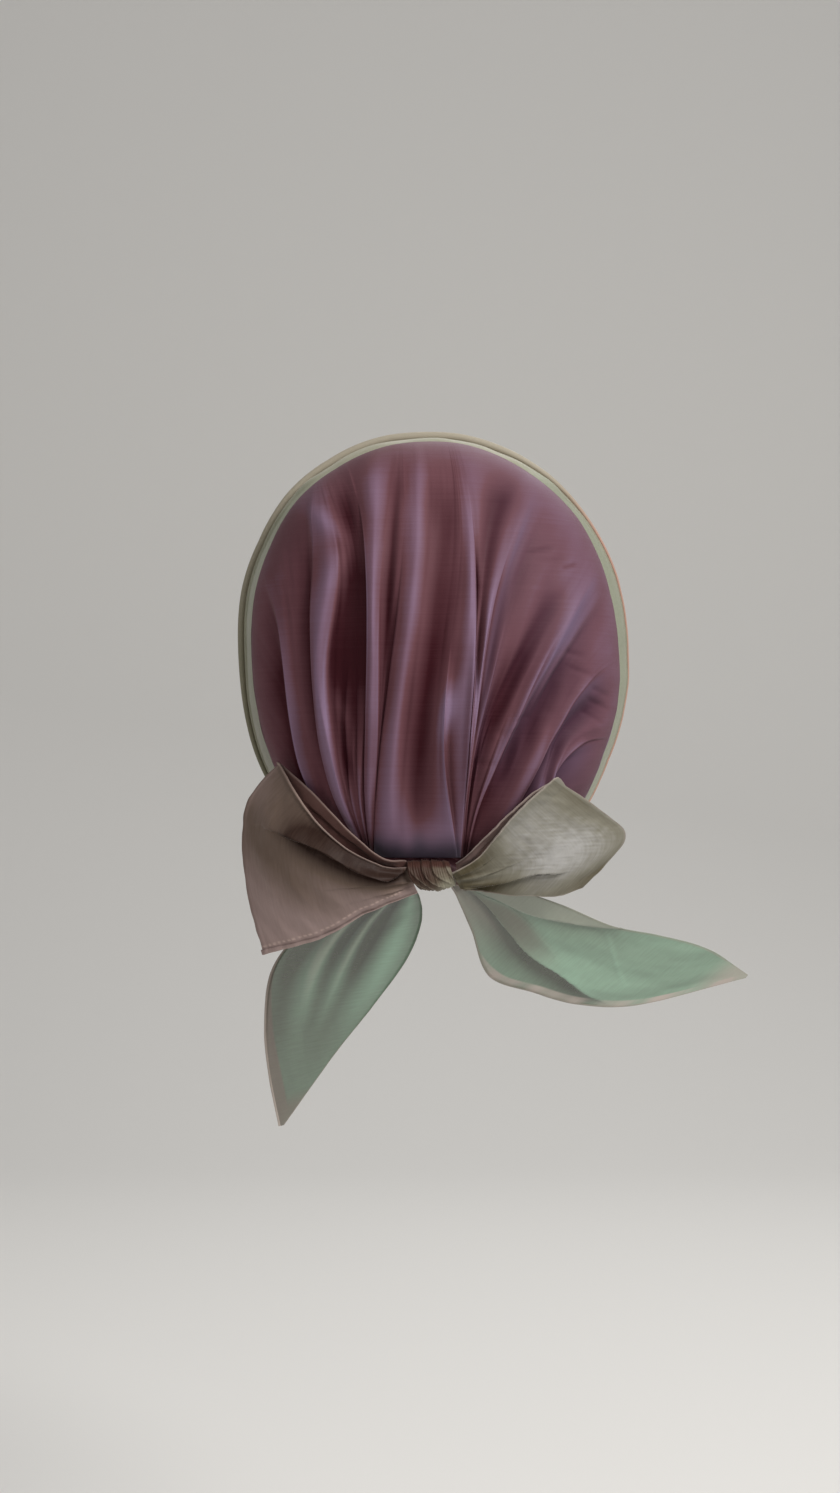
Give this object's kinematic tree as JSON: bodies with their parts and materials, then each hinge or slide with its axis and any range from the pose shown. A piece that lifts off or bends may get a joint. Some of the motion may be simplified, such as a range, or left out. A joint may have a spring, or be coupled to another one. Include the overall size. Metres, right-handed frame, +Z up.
{
  "type": "draped turban hat",
  "caption": "Soft draped turban bonnet of sheer cloth: pleated crown, rolled band round the face opening, and a bow with two tails at the nape.",
  "frame": {"origin": "under the inside top of the crown, where the head bears on it", "axes": "+Z up as worn, +Y out of the face opening, -Y the back of the head, +X to the wearer's right"},
  "size_m": [0.2447, 0.1007, 0.3303],
  "materials": {
    "crown_voile": "sheer shot voile, lilac over wine, soft sheen",
    "band_organza": "sheer pale beige organza, soft sheen",
    "bow_organza": "shot organza, taupe to sage, soft sheen",
    "tail_organza": "single sheer layer of shot organza, pale pink hem"
  },
  "bodies": {
    "root": {"crown": "crown_voile", "face_band": "band_organza", "bow_knot": "bow_organza", "bow_loop_left": "bow_organza", "bow_loop_right": "bow_organza", "tail_left": "tail_organza", "tail_right": "tail_organza"}
  },
  "joints": []
}
